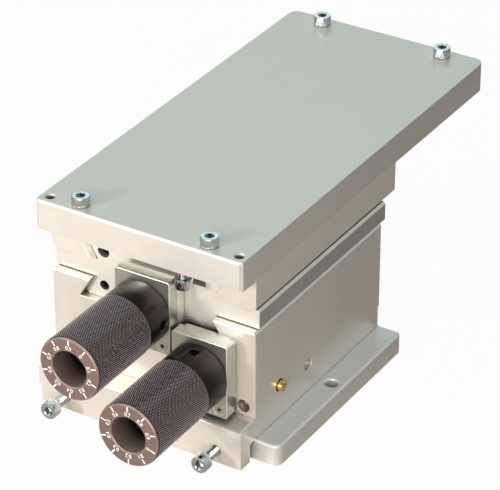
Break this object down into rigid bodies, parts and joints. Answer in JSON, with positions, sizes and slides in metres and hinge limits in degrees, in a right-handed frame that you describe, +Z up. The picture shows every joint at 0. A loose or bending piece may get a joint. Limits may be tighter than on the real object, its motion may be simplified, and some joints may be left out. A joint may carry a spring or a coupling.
{
  "type": "dovetail positioning table",
  "caption": "Two-stage dovetail positioning table: long top plate over a saddle and a base block, each stage driven along the table by a knurled dial knob.",
  "frame": {"origin": "middle of the body (base block) on the underside of the base plate, in the plane it stands on", "axes": "+Z up; -Y the knob side, along the spindles; +X to the right seen from the knobs, where the fixing flange stands out"},
  "size_m": [0.124, 0.2852, 0.115],
  "materials": {
    "plain_aluminium": "milled, satin",
    "top_aluminium": "fine ground, satin",
    "zinc_steel": "bright zinc plated",
    "black_steel": "blackened",
    "gib_steel": "ground",
    "bearing_steel": "yellowish zinc plated",
    "dark_steel": "dark, plain",
    "ground_steel": "ground",
    "knob_black": "black anodised with a purplish tint",
    "brass": "turned"
  },
  "bodies": {
    "base": {"base_plate": "plain_aluminium", "carrier_plate": "plain_aluminium", "base_block": "plain_aluminium", "frame_screws": "zinc_steel", "jack_screws": "zinc_steel", "clamp_screws": "zinc_steel", "brass_screws": "brass", "lower_gib": "gib_steel", "lower_gib_screws": "black_steel", "lower_bearing_spacer": "bearing_steel", "lower_bearing_plate": "bearing_steel", "lower_bearing_screws": "zinc_steel", "lower_bush": "brass"},
    "lower_screw": {"lower_spindle": "ground_steel", "lower_retaining_collar": "dark_steel", "lower_thrust_washer": "brass", "lower_knob": "knob_black", "lower_set_screw": "black_steel"},
    "saddle": {"saddle": "plain_aluminium", "lower_nut": "brass", "lower_nut_screws": "zinc_steel", "upper_bearing_housing": "dark_steel", "housing_screws": "zinc_steel", "upper_bearing_plate": "bearing_steel", "upper_bearing_screws": "zinc_steel", "upper_bush": "brass"},
    "upper_screw": {"upper_spindle": "ground_steel", "upper_retaining_collar": "dark_steel", "upper_thrust_washer": "brass", "upper_knob": "knob_black", "upper_set_screw": "black_steel"},
    "slide": {"top_slide": "plain_aluminium", "upper_gib": "gib_steel", "upper_gib_screws": "black_steel", "upper_nut": "brass", "upper_nut_screws": "zinc_steel", "plate_bolts": "zinc_steel", "top_plate": "top_aluminium", "top_cap_screws": "zinc_steel", "stop_screw": "zinc_steel"}
  },
  "joints": [
    {"name": "lower_knob_turn", "type": "hinge", "parent": "base", "child": "lower_screw", "pos_m": [0.0312, -0.0675, 0.0442], "axis": [0, 1, 0], "range_deg": [-4320, 1152]},
    {"name": "saddle_slide", "type": "slide", "parent": "base", "child": "saddle", "axis": [0, 1, 0], "range_m": [-0.0032, 0.012]},
    {"name": "upper_knob_turn", "type": "hinge", "parent": "saddle", "child": "upper_screw", "pos_m": [0.001, -0.0675, 0.0682], "axis": [0, 1, 0], "range_deg": [-9000, 9000]},
    {"name": "top_slide_slide", "type": "slide", "parent": "saddle", "child": "slide", "axis": [0, 1, 0], "range_m": [-0.025, 0.025]}
  ],
  "couplings": [
    {"joint": "lower_knob_turn", "follows": "saddle_slide", "rad_per_m": -6283.2},
    {"joint": "upper_knob_turn", "follows": "top_slide_slide", "rad_per_m": -6283.2}
  ]
}
